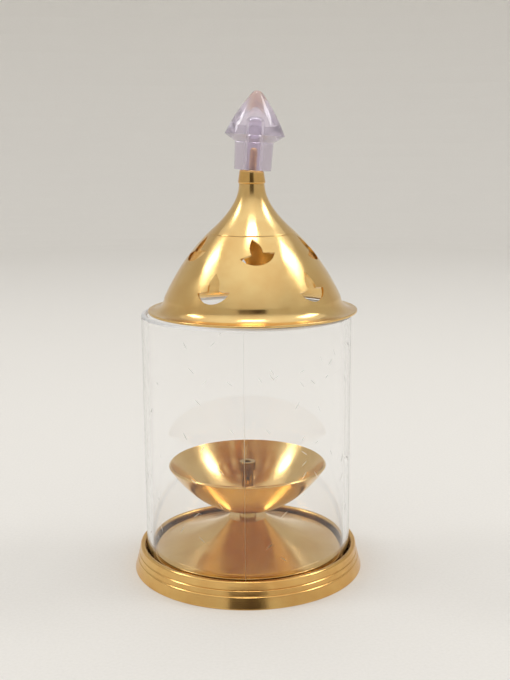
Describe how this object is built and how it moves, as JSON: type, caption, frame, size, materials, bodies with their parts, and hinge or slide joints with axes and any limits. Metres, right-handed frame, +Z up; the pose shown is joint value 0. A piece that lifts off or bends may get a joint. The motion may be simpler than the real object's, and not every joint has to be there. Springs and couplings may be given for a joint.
{
  "type": "brass oil lamp",
  "caption": "Brass table oil lamp: flared base ring, trumpet stand with an open oil bowl and wick holder, glass chimney, and a lift-off pierced dome lid with a clear knob.",
  "frame": {"origin": "centre of the base ring's foot, on the table", "axes": "+Z up along the lamp's axis; -Y is the front that the picture shows; the lid lies a little towards +X"},
  "size_m": [0.0896, 0.0896, 0.1833],
  "materials": {
    "spun_brass": "spun sheet, polished, with fine turning lines",
    "turned_brass": "turned and polished",
    "plated_steel": "zinc plated",
    "clear_glass": "clear drawn tube, fire-polished rim",
    "clear_plastic": "clear moulded, slightly lilac"
  },
  "bodies": {
    "base": {"base_ring": "turned_brass", "trumpet_stand": "spun_brass", "bowl_spacer": "turned_brass", "oil_bowl": "spun_brass", "wick_holder": "turned_brass", "flat_washer": "plated_steel", "spring_washer": "plated_steel", "centre_screw": "plated_steel"},
    "chimney": {"glass_chimney": "clear_glass"},
    "lid": {"lid_dome": "spun_brass", "neck_ferrule": "turned_brass", "knob": "clear_plastic", "knob_screw": "turned_brass", "knob_washer": "turned_brass"}
  },
  "joints": [
    {"name": "glass_lift", "type": "slide", "parent": "base", "child": "chimney", "axis": [0, 0, 1], "range_m": [0, 0.05]},
    {"name": "lid_lift", "type": "slide", "parent": "chimney", "child": "lid", "axis": [0, 0, 1], "range_m": [0, 0.06]}
  ]
}
